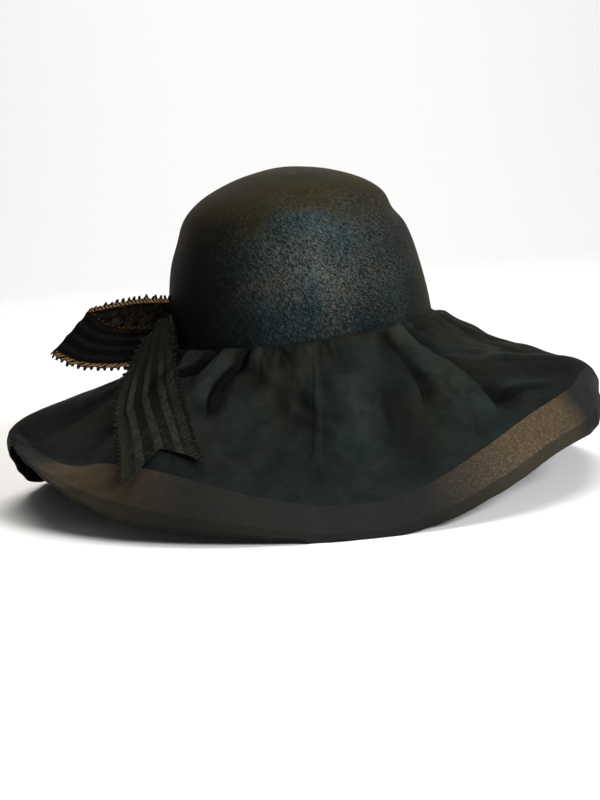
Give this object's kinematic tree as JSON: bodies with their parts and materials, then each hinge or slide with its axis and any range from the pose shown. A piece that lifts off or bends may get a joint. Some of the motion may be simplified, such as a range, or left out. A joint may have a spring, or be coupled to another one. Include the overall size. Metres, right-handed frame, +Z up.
{
  "type": "wide-brim hat",
  "caption": "Sun hat with a round woven straw crown, a wide drooping gathered brim of sheer cloth over an opaque layer, and a ribbon bow with a fishtail end at one side.",
  "frame": {"origin": "middle of the hat's box, on the surface that its rim rests on", "axes": "+Z up along the crown, -Y the side with the centre seam, -X the side with the bow"},
  "size_m": [0.3872, 0.4, 0.2043],
  "materials": {
    "straw": "fine woven straw, black with a grey-green speckle, faded brown at the top",
    "sheer_cloth": "sheer black-brown organza, gathered, see-through where it has no lining",
    "opaque_cloth": "opaque black-green woven cloth under the organza",
    "ribbon": "sheer black ribbon with satin stripes and picot edges"
  },
  "bodies": {
    "root": {"crown": "straw", "brim_outer_layer": "sheer_cloth", "brim_inner_layer": "opaque_cloth", "bow_loop": "ribbon", "bow_knot": "ribbon", "bow_tail": "ribbon"}
  },
  "joints": []
}
